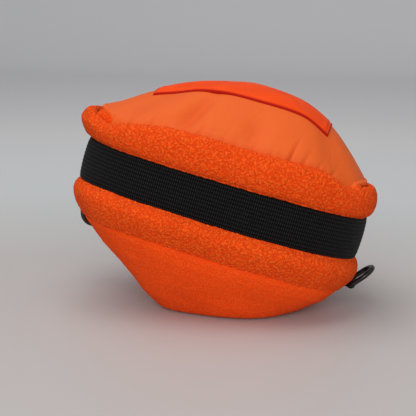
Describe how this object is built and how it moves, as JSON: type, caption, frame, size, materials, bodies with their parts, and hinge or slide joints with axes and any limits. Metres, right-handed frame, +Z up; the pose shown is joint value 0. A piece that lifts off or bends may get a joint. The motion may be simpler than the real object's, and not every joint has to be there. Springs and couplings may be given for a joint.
{
  "type": "hand warmer muff",
  "caption": "Padded hand muff with a tunnel from end to end, a belt round its side and a swinging strap ring at each end.",
  "frame": {"origin": "on the supporting surface, under the middle of the muff, on the flat that its soft back rests on", "axes": "+X towards the lower end mouth, along the muff; +Y away from the side with the label's near edge; +Z up"},
  "size_m": [0.309, 0.1823, 0.2217],
  "materials": {
    "orange_nylon": "woven, matt",
    "label_satin": "smooth woven",
    "orange_fleece": "curly pile",
    "orange_back_fleece": "short brushed pile",
    "white_wadding": "matt",
    "black_webbing": "ribbed, matt",
    "orange_elastic": "ribbed, matt",
    "black_ring": "glossy"
  },
  "bodies": {
    "muff": {"front_panel_shell": "orange_nylon", "front_panel_wadding": "white_wadding", "label_patch": "label_satin", "front_seam_piping": "orange_nylon", "left_mouth_binding": "orange_elastic", "right_mouth_binding": "orange_elastic", "tunnel_lining": "orange_fleece", "upper_fleece_strip": "orange_fleece", "waist_band": "black_webbing", "band_lap": "black_webbing", "band_backing": "orange_fleece", "lower_fleece_strip": "orange_fleece", "side_wadding": "white_wadding", "back_panel_wadding": "white_wadding", "back_panel_fleece": "orange_back_fleece", "left_ring_tab": "black_webbing", "right_ring_tab": "black_webbing"},
    "left_ring": {"left_ring": "black_ring"},
    "right_ring": {"right_ring": "black_ring"}
  },
  "joints": [
    {"name": "left_ring_swing", "type": "hinge", "parent": "muff", "child": "left_ring", "pos_m": [-0.145, 0.058, 0.0825], "axis": [0.866, 0.5, 0], "range_deg": [-15, 110]},
    {"name": "right_ring_swing", "type": "hinge", "parent": "muff", "child": "right_ring", "pos_m": [0.123, 0.025, 0.018], "axis": [0, 1, 0], "range_deg": [-15, 72]}
  ]
}
